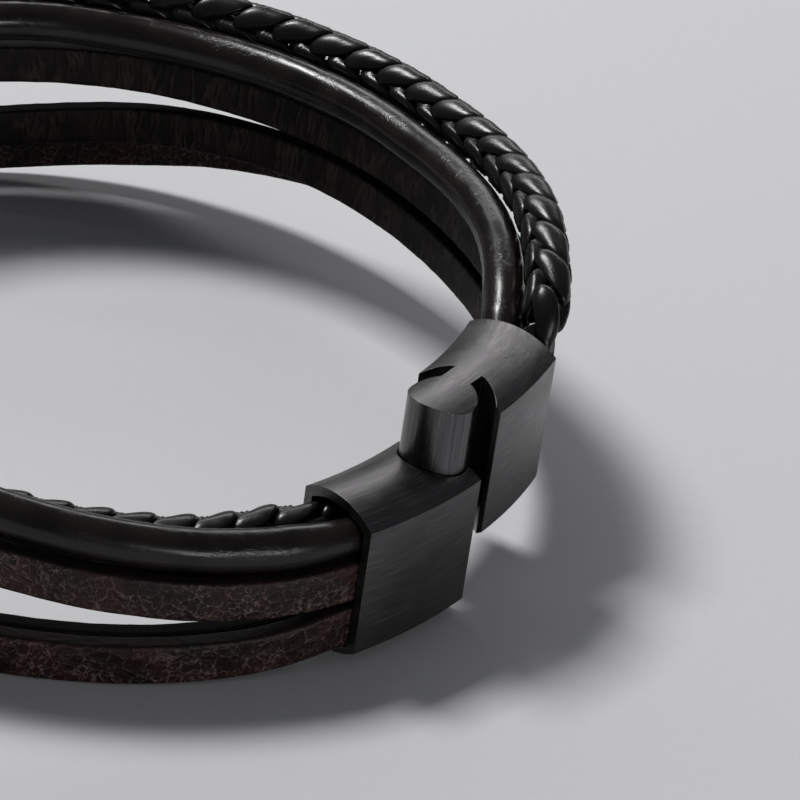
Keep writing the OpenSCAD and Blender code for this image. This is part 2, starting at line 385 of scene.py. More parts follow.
@dataclass(frozen=True)
class Tube:
    """A closed tube: rings of points, and where each point lies when the piece is straight."""

    points: Array
    laid: Array

    def build(self, name: str, material: Material) -> Piece:
        """Makes the tube's object.

        Args:
            name: Name of the piece.
            material: Material that the piece wears.

        Returns:
            The object, linked to the scene.
        """
        rings, sides = self.points.shape[:2]
        ring, side = np.meshgrid(np.arange(rings - 1), np.arange(sides), indexing="ij")
        here, beside = ring * sides + side, ring * sides + (side + 1) % sides
        quads = np.stack([here, beside, beside + sides, here + sides], axis=-1).reshape(-1, 4)
        first_end = list(range(sides))[::-1]
        last_end = [(rings - 1) * sides + i for i in range(sides)]
        places = self.points.reshape(-1, 3) * METRES_PER_MM
        mesh = bpy.data.meshes.new(name)
        mesh.from_pydata(places.tolist(), [], quads.tolist() + [first_end, last_end])
        smooth = np.ones(len(mesh.polygons), bool)
        smooth[-2:] = False
        mesh.polygons.foreach_set("use_smooth", smooth)
        laid = mesh.attributes.new(LAID, "FLOAT_VECTOR", "POINT")
        laid.data.foreach_set("vector", self.laid.reshape(-1).astype(np.float32))
        mesh.materials.append(material)
        mesh.update()
        return add_object(name, mesh)


Amount = Union["Reading", float, int]


class Reading:
    """A number from a shader socket. Each operation on it adds one Math node."""

    def __init__(self, tree: ShaderTree, socket: Socket) -> None:
        """Wraps the output socket of a node in a tree."""
        self.tree = tree
        self.socket = socket

    def __add__(self, other: Amount) -> Reading:
        """Adds."""
        return self.tree.math("ADD", self, other)

    def __radd__(self, other: Amount) -> Reading:
        """Adds, from the right."""
        return self.tree.math("ADD", other, self)

    def __sub__(self, other: Amount) -> Reading:
        """Subtracts."""
        return self.tree.math("SUBTRACT", self, other)

    def __rsub__(self, other: Amount) -> Reading:
        """Subtracts, from the right."""
        return self.tree.math("SUBTRACT", other, self)

    def __mul__(self, other: Amount) -> Reading:
        """Multiplies."""
        return self.tree.math("MULTIPLY", self, other)

    def __rmul__(self, other: Amount) -> Reading:
        """Multiplies, from the right."""
        return self.tree.math("MULTIPLY", other, self)

    def __pow__(self, power: Amount) -> Reading:
        """Raises to a power."""
        return self.tree.math("POWER", self, power)

    def larger(self, other: Amount) -> Reading:
        """Takes the larger of two numbers."""
        return self.tree.math("MAXIMUM", self, other)

    def size(self) -> Reading:
        """Takes the number without its sign."""
        return self.tree.math("ABSOLUTE", self)

    def ramp(self, start: float, end: float, low: float = 0.0, high: float = 1.0) -> Reading:
        """Rises smoothly from low at the start to high at the end, and is held past both."""
        settings = {"interpolation_type": "SMOOTHSTEP"}
        limits = {"From Min": start, "From Max": end, "To Min": low, "To Max": high}
        return self.tree.read("ShaderNodeMapRange", settings, {"Value": self, **limits}, "Result")


SocketValue = Union[Reading, Socket, float, int, Sequence[float], None]
Settings = Mapping[str, object]
Sockets = Mapping[Union[str, int], SocketValue]


class ShaderTree:
    """The nodes of one material."""

    def __init__(self, name: str) -> None:
        """Makes an empty material.

        Args:
            name: Name of the material.
        """
        self.material = bpy.data.materials.new(name)
        self.material.use_nodes = True
        tree = self.material.node_tree
        self.nodes, self.links = tree.nodes, tree.links
        self.nodes.clear()

    def node(
        self, kind: str, settings: Optional[Settings] = None, sockets: Optional[Sockets] = None
    ) -> bpy.types.Node:
        """Adds a node.

        Args:
            kind: Node type.
            settings: Properties that are set first.
            sockets: Values or links of the input sockets, by name or number. A socket that is
                given None keeps its own value.

        Returns:
            The new node.
        """
        made = self.nodes.new(kind)
        for key, value in (settings or {}).items():
            setattr(made, key, value)
        for key, value in (sockets or {}).items():
            if isinstance(value, Reading):
                value = value.socket
            if isinstance(value, Socket):
                self.links.new(value, made.inputs[key])
            elif value is not None:
                made.inputs[key].default_value = value
        return made

    def read(
        self, kind: str, settings: Settings, sockets: Sockets, output: Union[str, int]
    ) -> Reading:
        """Adds a node and reads a number from one of its outputs, by name or number."""
        return Reading(self, self.node(kind, settings, sockets).outputs[output])

    def math(self, operation: str, *values: Amount) -> Reading:
        """Adds a Math node on one or two numbers and reads its result."""
        return self.read("ShaderNodeMath", {"operation": operation}, dict(enumerate(values)), 0)

    def vector_math(self, operation: str, one: SocketValue, other: SocketValue) -> Socket:
        """Adds a Vector Math node on two vectors and gives the resulting vector."""
        made = self.node("ShaderNodeVectorMath", {"operation": operation}, {0: one, 1: other})
        return made.outputs[0]

    def blend(self, share: Amount, one: SocketValue, other: SocketValue) -> Socket:
        """Mixes two colours: the first one at a share of 0 and the other one at 1."""
        sockets = {"Factor": share, 6: one, 7: other}
        return self.node("ShaderNodeMix", {"data_type": "RGBA"}, sockets).outputs[2]

    def vector(self, x: Amount, y: Amount, z: Amount) -> Socket:
        """Puts three numbers together as a vector."""
        return self.node("ShaderNodeCombineXYZ", None, {0: x, 1: y, 2: z}).outputs[0]

    def parts(self, vector: Socket) -> tuple[Reading, Reading, Reading]:
        """Takes a vector apart into its three numbers."""
        x, y, z = self.node("ShaderNodeSeparateXYZ", None, {0: vector}).outputs
        return Reading(self, x), Reading(self, y), Reading(self, z)

    def laid(self) -> Socket:
        """Place on the straight piece, in millimetres: along it, across it and up."""
        return self.node("ShaderNodeAttribute", {"attribute_name": LAID}).outputs["Vector"]

    def place(self) -> Socket:
        """Place in the row's frame, in millimetres."""
        made = self.node("ShaderNodeTexCoord")
        return self.stretched(made.outputs["Object"], (MM_PER_METRE,) * 3)

    def stretched(self, place: Socket, scale: Triple) -> Socket:
        """Scales a place by its own number each way."""
        return self.vector_math("MULTIPLY", place, scale)

    def noise(
        self, place: Socket, scale: float, detail: float = 2.0, rough: float = 0.5
    ) -> Reading:
        """Reads fractal noise from about 0 to 1, its scale in cells a millimetre."""
        sockets = {"Vector": place, "Scale": scale, "Detail": detail, "Roughness": rough}
        return self.read("ShaderNodeTexNoise", {}, sockets, 0)

    def warped(self, place: Socket, scale: float, amount: float) -> Socket:
        """Moves places about by noise, so that cells lose their straight sides.

        Args:
            place: Place to move.
            scale: Cells a millimetre of the noise that moves it.
            amount: How far it moves, in millimetres.

        Returns:
            The moved place.
        """
        made = self.node("ShaderNodeTexNoise", None, {"Vector": place, "Scale": scale})
        shift = self.vector_math("SUBTRACT", made.outputs["Color"], (0.5,) * 3)
        return self.vector_math("ADD", place, self.stretched(shift, (amount,) * 3))

    def lying_flat(self, start: float = 0.45, end: float = 0.85) -> Reading:
        """How flat a surface lies: 0 where its normal's height is below start, 1 above end."""
        normal = self.node("ShaderNodeNewGeometry").outputs["True Normal"]
        return self.parts(normal)[2].size().ramp(start, end)

    def edge_distance(self, place: Socket, scale: float) -> Reading:
        """Distance to the nearest edge between irregular cells."""
        settings = {"feature": "DISTANCE_TO_EDGE"}
        sockets = {"Vector": place, "Scale": scale}
        return self.read("ShaderNodeTexVoronoi", settings, sockets, "Distance")

    def relief(self, *layers: tuple[Reading, float], normal: Optional[Socket] = None) -> Socket:
        """Turns heights into a normal.

        Args:
            layers: Heights from 0 to 1, each with what a height of 1 measures in millimetres.
            normal: Normal that the first layer starts from.

        Returns:
            The new normal.
        """
        for height, depth in layers:
            sockets = {"Height": height, "Distance": depth * METRES_PER_MM, "Normal": normal}
            normal = self.node("ShaderNodeBump", None, sockets).outputs[0]
        return normal

    def finish(
        self,
        colour: SocketValue,
        roughness: Amount,
        normal: Optional[Socket] = None,
        gloss: float = 0.5,
        metallic: float = 0.0,
    ) -> Material:
        """Adds the surface shader and the output.

        Args:
            colour: Base colour.
            roughness: Roughness.
            normal: Normal, where it isn't the plain one.
            gloss: Specular level.
            metallic: 1 for a metal and 0 for anything else.

        Returns:
            The finished material.
        """
        sockets = {
            "Base Color": colour,
            "Roughness": roughness,
            "Normal": normal,
            "Specular IOR Level": gloss,
            "Metallic": metallic,
        }
        surface = self.node("ShaderNodeBsdfPrincipled", None, sockets)
        self.node("ShaderNodeOutputMaterial", None, {"Surface": surface.outputs[0]})
        return self.material


@dataclass(frozen=True)
class BrushedSteel:
    """Black plated steel, brushed along a cap's length and upright round the knob."""

    name: str
    clasp: ClaspSizes
    colour: Colour = (0.084, 0.080, 0.083, 1.0)
    worn_colour: Colour = (0.165, 0.157, 0.161, 1.0)
    roughness: float = 0.33
    line_length: float = 2.2
    line_width: float = 0.07
    line_depth: float = 0.017
    edge_round: float = 0.08
    upright_slope: tuple[float, float] = (0.2, 0.6)
    wall_margin: tuple[float, float] = (0.03, 0.08)
    streaks_a_mm: float = 4.0
    streak_stretch: float = 0.12

    def material(self) -> Material:
        """Builds the material.

        Returns:
            The material.
        """
        tree = ShaderTree(self.name)
        place = tree.place()
        x, y, z = tree.parts(place)
        middle_x, middle_y = Course.MIDDLE
        from_axis_x = x + middle_x
        from_axis_y = y + (middle_y - self.clasp.arc_back)
        radius = (from_axis_x * from_axis_x + from_axis_y * from_axis_y) ** 0.5
        along = tree.math("ARCTAN2", from_axis_x, from_axis_y * -1.0) * self.clasp.arc
        line_step = 1 / self.line_width
        lines = tree.vector(along * (1 / self.line_length), radius * line_step, z * line_step)
        fine = tree.noise(lines, 1.0, 3.0, 0.65)
        broad = tree.noise(tree.stretched(lines, (0.6, 0.3, 0.3)), 1.0, 2.0)
        scratches = tree.noise(tree.stretched(lines, (0.3, 0.7, 0.7)), 1.0, 1.0).ramp(0.6, 0.74)
        knob_x = x + (middle_x + self.clasp.knob_back)
        knob_y = y + (middle_y + self.clasp.knob_forward)
        reach = (knob_x * knob_x + knob_y * knob_y) ** 0.5
        knob_radius = self.clasp.knob_diameter / 2
        wall_start, wall_end = (knob_radius + margin for margin in self.wall_margin)
        upright = 1.0 - tree.lying_flat(*self.upright_slope)
        knob_wall = (1.0 - reach.ramp(wall_start, wall_end)) * upright
        round_knob = tree.math("ARCTAN2", knob_x, knob_y) * knob_radius
        drawn = tree.vector(round_knob * self.streaks_a_mm, z * self.streak_stretch, 0.0)
        streaks = tree.noise(drawn, 1.0, 4.0, 0.65)
        height = fine * 0.6 + broad * 0.25 + scratches * 0.25
        height = height * (1.0 - knob_wall) + streaks * knob_wall
        patches = tree.noise(place, 0.35, 3.0).ramp(0.35, 0.7)
        worn = broad.ramp(0.4, 0.75) * 0.4 + scratches * 0.5 + patches * 0.12
        worn = worn * (1.0 - knob_wall) + streaks.ramp(0.4, 0.7) * knob_wall * 0.7
        colour = tree.blend(worn, self.colour, self.worn_colour)
        roughness = self.roughness + (fine - 0.5) * 0.18 + (patches - 0.5) * 0.06
        roughness = roughness - knob_wall * 0.06
        rounding = {"Radius": self.edge_round * METRES_PER_MM}
        rounded = tree.node("ShaderNodeBevel", {"samples": 6}, rounding)
        normal = tree.relief((height, self.line_depth), normal=rounded.outputs[0])
        return tree.finish(colour, roughness, normal, metallic=1.0)


@dataclass(frozen=True)
class CreasedLeather:
    """Dark half-gloss leather with a broken network of thin ridges, painted lighter as a painted
    highlight where they catch the light, and with painted shade on its flat-lying tops.
    """

    name: str
    colour: Colour
    # deep colour: a darker tone in the clouds, and the painted shade on flat-lying tops
    deep_colour: Colour
    # lit colour: the painted highlight along the ridges
    lit_colour: Colour
    roughness: float = 0.44
    cell_scale: float = 0.85
    ridge_width: float = 0.055
    ridge_depth: float = 0.045
    pillow_depth: float = 0.05
    grain_scale: float = 7.0
    grain_depth: float = 0.014
    stretch: float = 0.7
    small_scale: float = 2.2
    small_width: float = 1.6
    gloss: float = 0.24
    flat_dulling: float = 0.35

    def material(self) -> Material:
        """Builds the material.

        Returns:
            The material.
        """
        tree = ShaderTree(self.name)
        laid = tree.laid()
        flowing = tree.warped(tree.warped(laid, 0.45, 1.8), 1.9, 0.5)
        cells = tree.stretched(flowing, (self.stretch, 1.0, 1.0))
        main = tree.edge_distance(cells, self.cell_scale)
        small = tree.edge_distance(flowing, self.cell_scale * self.small_scale)
        where = tree.noise(laid, 0.28, 3.0, 0.6).ramp(0.38, 0.6)
        broken = tree.noise(laid, 2.6, 2.0).ramp(0.38, 0.58)
        main_ridge = (1.0 - main.ramp(0.0, self.ridge_width)) * (0.35 + where * 0.65)
        small_ridge = (1.0 - small.ramp(0.0, self.ridge_width * self.small_width)) * where
        ridges = main_ridge.larger(small_ridge * 0.75) * (0.15 + broken * 0.85)
        flat = tree.lying_flat()
        ridges = ridges * (1.0 - flat)
        pillows = main.ramp(0.0, 0.4)
        pores = tree.noise(laid, self.grain_scale, 3.0, 0.65)
        clouds = tree.noise(laid, 0.4, 3.0, 0.6)
        colour = tree.blend(clouds.ramp(0.34, 0.66), self.deep_colour, self.colour)
        # painted highlight: the ridges are painted towards the lit colour, as if they caught the
        # light
        colour = tree.blend(ridges * 0.8, colour, self.lit_colour)
        # painted shade: faces that lie flat, the tops of the strap, are painted towards the deep
        # colour
        colour = tree.blend(flat * 0.7, colour, self.deep_colour)
        roughness = self.roughness + (clouds - 0.5) * 0.2 - ridges * 0.12 + (pores - 0.5) * 0.16
        roughness = roughness + flat * self.flat_dulling
        hollows = (1.0 - pillows, self.pillow_depth)
        normal = tree.relief((pores, self.grain_depth), hollows, (ridges, self.ridge_depth))
        return tree.finish(colour, roughness, normal, self.gloss)


@dataclass(frozen=True)
class WrinkledLining:
    """Flat, dull leather on the inside of a strap, drawn into upright wrinkles by the bend, with a
    painted highlight along the folds and painted shade on its flat-lying tops.
    """

    name: str
    colour: Colour
    # deep colour: a darker tone in the clouds, and the painted shade on flat-lying tops
    deep_colour: Colour
    # lit colour: the painted highlight along the folds
    lit_colour: Colour
    roughness: float = 0.5
    fold_spacing: float = 1.1
    fold_depth: float = 0.09
    grain_scale: float = 4.5
    grain_depth: float = 0.025
    gloss: float = 0.15
    flat_dulling: float = 0.35

    def material(self) -> Material:
        """Builds the material.

        Returns:
            The material.
        """
        tree = ShaderTree(self.name)
        laid = tree.laid()
        bent = tree.warped(laid, 0.5, 1.0)
        across = tree.stretched(bent, (1 / self.fold_spacing, 0.5, 0.2))
        upright = tree.noise(across, 1.0, 2.0, 0.55)
        folds = 1.0 - (upright - 0.5).size().ramp(0.0, 0.11)
        flat = tree.lying_flat()
        folds = folds * (1.0 - flat)
        where = tree.noise(laid, 0.35, 2.0).ramp(0.36, 0.6)
        grain = tree.noise(laid, self.grain_scale, 4.0, 0.65)
        clouds = tree.noise(laid, 0.25, 3.0, 0.6)
        colour = tree.blend(clouds.ramp(0.3, 0.7), self.deep_colour, self.colour)
        # painted highlight: the folds are painted towards the lit colour, as if their edges caught
        # the light
        colour = tree.blend(folds * where * 0.6, colour, self.lit_colour)
        # painted shade: faces that lie flat, the tops of the strap, are painted towards the deep
        # colour
        colour = tree.blend(flat * 0.8, colour, self.deep_colour)
        roughness = self.roughness + (grain - 0.5) * 0.25 - folds * where * 0.1
        roughness = roughness + flat * self.flat_dulling
        creases = (folds * (0.4 + where * 0.6), self.fold_depth)
        normal = tree.relief((grain, self.grain_depth), creases)
        return tree.finish(colour, roughness, normal, self.gloss)


@dataclass(frozen=True)
class SmoothLeather:
    """Nearly black glazed leather with a faint pull along the piece."""

    name: str
    colour: Colour
    lit_colour: Colour
    roughness: float = 0.24
    pull_width: float = 0.35
    pull_depth: float = 0.012
    grain_scale: float = 7.0
    grain_depth: float = 0.006
    nick_share: float = 0.6
    nick_depth: float = 0.012
    gloss: float = 0.32

    def material(self) -> Material:
        """Builds the material.

        Returns:
            The material.
        """
        tree = ShaderTree(self.name)
        laid = tree.laid()
        pull_step = 1 / self.pull_width
        drawn = tree.stretched(tree.warped(laid, 0.6, 0.5), (0.25, pull_step, pull_step))
        pulls = tree.noise(drawn, 1.0, 2.0)
        moved = tree.stretched(tree.warped(laid, 1.4, 0.8), (1.3, 1.8, 1.8))
        nicks = tree.noise(moved, 1.0, 3.0, 0.6)
        broken = tree.noise(laid, 0.35, 2.0).ramp(0.44, 0.62) * self.nick_share
        dents = 1.0 - (nicks - 0.5).size().ramp(0.0, 0.07)
        grain = tree.noise(laid, self.grain_scale, 3.0, 0.6)
        clouds = tree.noise(laid, 0.3, 2.0)
        colour = tree.blend(clouds.ramp(0.35, 0.7), self.colour, self.lit_colour)
        roughness = self.roughness + (clouds - 0.5) * 0.12 + (grain - 0.5) * 0.16
        nicked = (1.0 - dents * broken, self.nick_depth)
        normal = tree.relief((grain, self.grain_depth), (pulls, self.pull_depth), nicked)
        return tree.finish(colour, roughness, normal, self.gloss)


@dataclass(frozen=True)
class MattFloor:
    """Pale, matt surface that the bracelet lies on."""

    name: str
    colour: Colour = (0.55, 0.55, 0.56, 1.0)
    speckle_shade: float = 0.985
    roughness: float = 0.85
    gloss: float = 0.2

    def material(self) -> Material:
        """Builds the material.

        Returns:
            The material.
        """
        tree = ShaderTree(self.name)
        speckle = tree.noise(tree.place(), 0.8, 4.0, 0.6)
        shade = tuple(part * self.speckle_shade for part in self.colour[:3]) + (1.0,)
        colour = tree.blend(speckle.ramp(0.3, 0.7), shade, self.colour)
        return tree.finish(colour, self.roughness, gloss=self.gloss)


@dataclass
class FlatStrap:
    """A flat strap of two layers of leather, side by side."""

    course: Course
    row: Row
    face_leather: Material
    lining_leather: Material
    height: float = 3.35
    layer_thickness: float = 1.6
    corner: float = 0.34
    face_crown: float = 0.05
    side_step: float = 0.24
    rings: int = 880
    wrinkle: float = 0.056
    dent: float = 0.03
    corner_points: int = 5
    layer_shift: float = 10.0
    row_shift: float = 20.0
    pieces: list[Piece] = field(default_factory=list)

    def build(self) -> list[Piece]:
        """Makes both layers and gives the two pieces, the outer one first."""
        self.pieces = [self._layer(layer) for layer in Layer]
        return self.pieces

    def dress(self) -> None:
        """Hides the node that each layer stands for and attaches the layer to the root body."""
        for layer, piece in zip(Layer, self.pieces):
            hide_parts(f"{self.row.value}_strap_{layer.name.lower()}")
            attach(piece, "root")

    def outline(self) -> tuple[Array, Array]:
        """Draws the section of a layer with rounded corners.

        Returns:
            Points and outward normals, anticlockwise: outwards first, then upwards.
        """
        half = np.array([self.layer_thickness / 2, self.height / 2])
        points: list[Array] = []
        normals: list[Array] = []
        for quarter, sign in enumerate(((1, 1), (-1, 1), (-1, -1), (1, -1))):
            centre = (half - self.corner) * np.array(sign)
            for angle in np.radians(np.linspace(0, 90, self.corner_points) + 90 * quarter):
                normal = np.array([math.cos(angle), math.sin(angle)])
                points.append(centre + self.corner * normal)
                normals.append(normal)
            side = half[quarter % 2] * 2 - 2 * self.corner
            steps = max(1, round(side / self.side_step))
            run = np.array([-normal[1], normal[0]])
            for _ in range(1, steps):
                points.append(points[-1] + run * side / steps)
                normals.append(normal)
        return np.array(points), np.array(normals)

    def _layer(self, layer: Layer) -> Piece:
        """Makes one layer.

        Args:
            layer: Which layer it is.

        Returns:
            The piece.
        """
        course = self.course
        turns = course.even_turns(self.rings)
        gap = course.clasp.piece_gap
        inset = self.layer_thickness / 2 + layer.value * (self.layer_thickness + gap)
        bottom = course.at(self.row.value, turns)
        if self.row is Row.LOWER and layer is Layer.INNER:
            bottom = bottom + course.at("lift", turns)
        middle = course.place(turns, np.full_like(turns, inset), bottom + self.height / 2)
        outline, normals = self.outline()
        along = np.repeat(run_length(middle)[:, None], len(outline), axis=1)
        free = course.at("swell", turns)[:, None]
        seed = 10 * (1 + layer.value) + (0 if self.row is Row.LOWER else 5)
        level = outline[:, 1] + np.zeros_like(along)
        soft = Ripple(seed).at(level * 0.5, along * 0.35)
        soft = soft + 0.5 * Ripple(seed + 1).at(level * 1.3, along * 0.9)
        pleats = np.abs(Ripple(seed + 2).at(level * 0.22, along * 1.15 + 0.6 * soft)) ** 0.7
        lift = -self.dent * np.abs(soft)
        if layer is Layer.OUTER:
            crown = self.face_crown * np.clip(1 - (2 * level / self.height) ** 2, 0, 1)
            lift = lift + np.clip(normals[:, 0], 0, 1) * crown
        else:
            lift = lift - self.wrinkle * np.clip(-normals[:, 0], 0, 1) * (1 - pleats)
        moved = outline + normals * (lift * free)[..., None]
        points = middle[:, None] + moved[..., :1] * course.outward(turns)[:, None]
        points[..., 2] += moved[..., 1]
        across_laid = moved[..., 0] + self.layer_shift * layer.value
        up_laid = moved[..., 1] + (self.row_shift if self.row is Row.UPPER else 0)
        laid = np.stack([along, across_laid, up_laid], axis=-1)
        material = self.face_leather if layer is Layer.OUTER else self.lining_leather
        name = f"{self.row.value}_strap_{'face' if layer is Layer.OUTER else 'lining'}"
        return Tube(points, laid).build(name, material)


@dataclass
class RoundCord:
    """The smooth round cord."""

    course: Course
    leather: Material
    diameter: float = 3.3
    squeeze: float = 0.85
    sides: int = 36
    rings: int = 900
    swelling: float = 0.03
    seed: int = 61
    laid_shift: float = 40.0
    piece: Optional[Piece] = None

    def build(self) -> Piece:
        """Makes the cord.

        Returns:
            The piece.
        """
        turns = self.course.even_turns(self.rings)[:, None]
        frames = self.course.frames(turns, "cord_inset", "cord_height")
        swell = self.course.swollen(turns, self.squeeze)
        angle = np.linspace(0, FULL_TURN, self.sides, endpoint=False)
        cosine, sine, length = np.cos(angle), np.sin(angle), frames.length
        lumps = Ripple(self.seed).at(cosine * 1.2, length * 0.35 + 3 * sine)
        lumps = lumps + 0.4 * Ripple(self.seed + 1).at(cosine * 2.6, length * 1.4 + 5 * sine)
        radius = self.diameter / 2 * swell - self.swelling * (0.5 - 0.5 * lumps)
        out_part, up_part = radius * cosine, radius * sine
        laid = np.stack([length + 0 * angle, out_part + self.laid_shift, up_part], axis=-1)
        tube = Tube(frames.around(out_part, up_part), laid)
        self.piece = tube.build("round_cord_leather", self.leather)
        return self.piece

    def dress(self) -> None:
        """Hides the node that the cord stands for and attaches the cord to the root body."""
        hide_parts("round_cord")
        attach(self.piece, "root")


@dataclass
class Braid:
    """A round braid of four strands, each a lace that runs long and slanting where it lies on top.

    The levels and the falls are read at each point's own angle from the middle of the column that
    its lace lies on top of: a lace stays high up to the start of its fall and lies low past its
    end. On the top the laces lie tilted over one another like scales.
    """

    course: Course
    leather: Material
    radius: float = 1.9
    pitch: float = 7.0
    mean_inset: float = 3.0
    squeeze: float = 0.695
    ring_offset: float = 1 / 16
    rings_per_turn: int = 40
    sides: int = 20
    top_pace: float = 0.45
    dive: float = 6.0
    half_thickness: float = 0.38
    wide: float = 1.05
    narrow: float = 0.75
    tilt: float = 0.24
    over_level: float = 0.78
    under_level: float = 0.42
    top_fall: tuple[float, float] = (52.0, 78.0)
    out_fall: tuple[float, float] = (30.0, 54.0)
    roundness: float = 0.85
    crest: float = 0.8
    uneven_width: float = 0.05
    uneven_thickness: float = 0.06
    first_seed: int = 80
    laid_shift: float = 5.0
    pieces: dict[str, Piece] = field(default_factory=dict)

    def build(self) -> list[Piece]:
        """Makes the four strands.

        Returns:
            The pieces.
        """
        plan = zip("abcd", product(Way, (0.0, 180.0)))
        for index, (letter, (way, start)) in enumerate(plan):
            self.pieces[letter] = self._strand(f"braid_lace_{letter}", way, start, index)
        return list(self.pieces.values())

    def dress(self) -> None:
        """Hides the node that each strand stands for and attaches the strand to the root body."""
        for letter, piece in self.pieces.items():
            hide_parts(f"braid_strand_{letter}")
            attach(piece, "root")

    def _strand(self, name: str, way: Way, start: float, index: int) -> Piece:
        """Makes one strand as a lace wound on the braid's round.

        Args:
            name: Name of the piece.
            way: Which way it winds.
            start: Angle that it starts at, in degrees.
            index: Number of the strand, which sets its small unevenness.

        Returns:
            The piece.
        """
        course = self.course
        span = course.last - course.first
        mean_reach = course.clasp.reach - self.mean_inset
        loop_turns = round(math.radians(span) * mean_reach / self.pitch)
        share = np.linspace(0, 1, loop_turns * self.rings_per_turn + 1)
        turns = course.first + span * share
        swell = course.swollen(turns, self.squeeze)
        length = course.frames(turns, "braid_inset", "braid_height").length
        speed = np.gradient(length, turns)

        top = 0.0 if way is Way.OUT_OVER else 90.0
        even = way.value * 360 * (loop_turns * share + self.ring_offset) + start - top
        past_top = self._past_top(even)
        dive = 90 * (1 - self.top_pace) * signed_power(past_top / 90, self.dive)
        centre = even - past_top + (self.top_pace * past_top + dive)
        level = self._level(way, self._past_top(centre))
        around_pace = np.abs(np.gradient(np.radians(centre), length))
        slope = np.arctan(around_pace * self.radius * level * swell)[:, None]

        ripple = Ripple(self.first_seed + index)
        uneven = ripple.at(np.full_like(share, 0.5), share * loop_turns * 2)
        on_top = (0.5 + 0.5 * np.cos(np.radians(2 * past_top))) ** self.crest
        half_width = self.narrow + (self.wide - self.narrow) * on_top
        half_width = half_width * (1 + self.uneven_width * uneven)
        thickness = self.half_thickness * (1 + self.uneven_thickness * uneven)
        thickness = (thickness * swell)[:, None]
        ring = np.linspace(0, FULL_TURN, self.sides, endpoint=False) * -way.value
        side = signed_power(np.cos(ring), self.roundness)
        depth = signed_power(np.sin(ring), self.roundness)
        across = (half_width * swell)[:, None] * side
        beside = across * np.cos(slope) / (self.over_level * self.radius * swell[:, None])
        angle = centre[:, None] + way.value * np.degrees(beside)
        ahead = -across * np.sin(slope)
        place_turns = np.clip(turns[:, None] + ahead / speed[:, None], course.first, course.last)
        radial = self.radius * self._level(way, self._past_top(angle)) * swell[:, None]
        tilt = self.tilt if way is Way.TOP_OVER else 0.0
        radial = radial + thickness * depth + tilt * across * on_top[:, None]

        turned = np.radians(angle + top + course.at("twist", turns)[:, None])
        near = course.frames(place_turns, "braid_inset", "braid_height")
        points = near.around(radial * np.cos(turned), radial * np.sin(turned))
        lace_length = np.cumsum(np.gradient(length) / np.cos(slope[:, 0]))[:, None] + 0 * across
        across_laid = across + self.laid_shift * index
        laid = np.stack([lace_length, across_laid, thickness * depth], axis=-1)
        return Tube(points, laid).build(name, self.leather)

    def _level(self, way: Way, past_top: Array) -> Array:
        """Reads how far out a lace lies, as a share of the braid's radius.

        Args:
            way: Which way the lace winds.
            past_top: Angle from the middle of the column that the lace lies on top of.

        Returns:
            The level at each angle.
        """
        start, end = self.top_fall if way is Way.TOP_OVER else self.out_fall
        fall = eased(np.clip((np.abs(past_top) - start) / (end - start), 0, 1))
        return self.over_level + (self.under_level - self.over_level) * fall

    @staticmethod
    def _past_top(angle: Array) -> Array:
        """Angle past the nearest place where the strand lies on top, from -90 to 90."""
        return (angle + 90) % 180 - 90


@dataclass
class Clasp:
    """The two steel caps, whose solids keep their shape and get their finish here."""

    nodes: Mapping[str, Piece]
    finishes: Mapping[str, Material]

    def dress(self) -> None:
        """Gives each cap its own brushing."""
        for name, material in self.finishes.items():
            for place in self.nodes[name].material_slots:
                place.material = material


@dataclass(frozen=True)
class Softbox:
    """A lit panel that faces the bracelet.

    The direction is that from the bracelet to the panel. The distance and the panel's width and
    height are in metres, and the power is in watts.
    """

    name: str
    direction: Triple
    distance: float
    size: tuple[float, float]
    power: float


